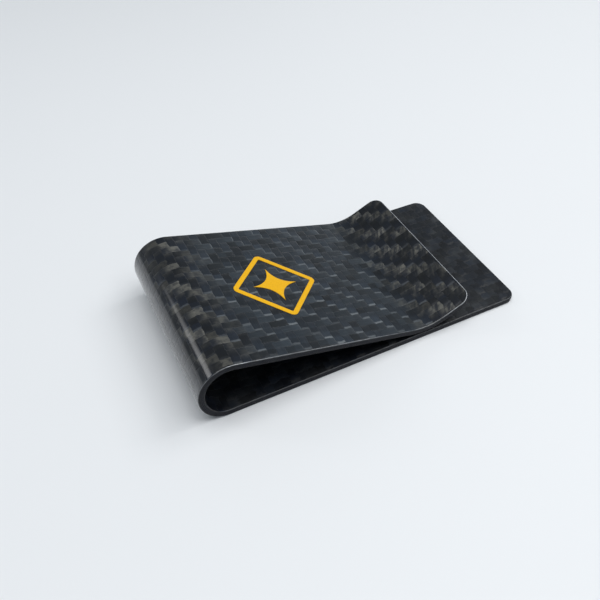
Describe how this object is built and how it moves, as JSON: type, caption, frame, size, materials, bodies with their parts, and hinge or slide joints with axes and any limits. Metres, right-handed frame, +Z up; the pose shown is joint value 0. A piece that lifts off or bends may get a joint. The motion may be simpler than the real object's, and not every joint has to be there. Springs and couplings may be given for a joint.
{
  "type": "money clip",
  "caption": "Sprung money clip: a carbon-fibre laminate strip bent into a U, with a flat back leg, a sloping spring arm, a throat that grips and a flared lip.",
  "frame": {"origin": "bottom centre of the clip's bounding box, on the back leg's underside", "axes": "+X from the bend to the leg's free end, +Y across the width, +Z up from the back leg to the spring arm"},
  "size_m": [0.0686, 0.035, 0.0131],
  "materials": {
    "twill_face_ply": "2x2 twill carbon cloth under a smooth clear gloss coat",
    "core_ply": "satin cut edge of carbon and resin",
    "emblem_ink": "smooth printed ink, satin to gloss"
  },
  "bodies": {
    "back_leg": {"back_leg_outer_face_ply": "twill_face_ply", "back_leg_core_ply_1": "core_ply", "back_leg_core_ply_2": "core_ply", "back_leg_core_ply_3": "core_ply", "back_leg_inner_face_ply": "twill_face_ply", "bend_lower_outer_face_ply": "twill_face_ply", "bend_lower_core_ply_1": "core_ply", "bend_lower_core_ply_2": "core_ply", "bend_lower_core_ply_3": "core_ply", "bend_lower_inner_face_ply": "twill_face_ply"},
    "spring_arm": {"bend_upper_outer_face_ply": "twill_face_ply", "bend_upper_core_ply_1": "core_ply", "bend_upper_core_ply_2": "core_ply", "bend_upper_core_ply_3": "core_ply", "bend_upper_inner_face_ply": "twill_face_ply", "spring_arm_outer_face_ply": "twill_face_ply", "spring_arm_core_ply_1": "core_ply", "spring_arm_core_ply_2": "core_ply", "spring_arm_core_ply_3": "core_ply", "spring_arm_inner_face_ply": "twill_face_ply", "emblem_frame": "emblem_ink", "emblem_star": "emblem_ink"}
  },
  "joints": [
    {"name": "bend_flex", "type": "hinge", "parent": "back_leg", "child": "spring_arm", "pos_m": [-0.03367, 0, 0.00674], "axis": [0, -1, 0], "range_deg": [0, 8], "stiffness_Nm_per_rad": 2, "springref_deg": -2.29}
  ]
}
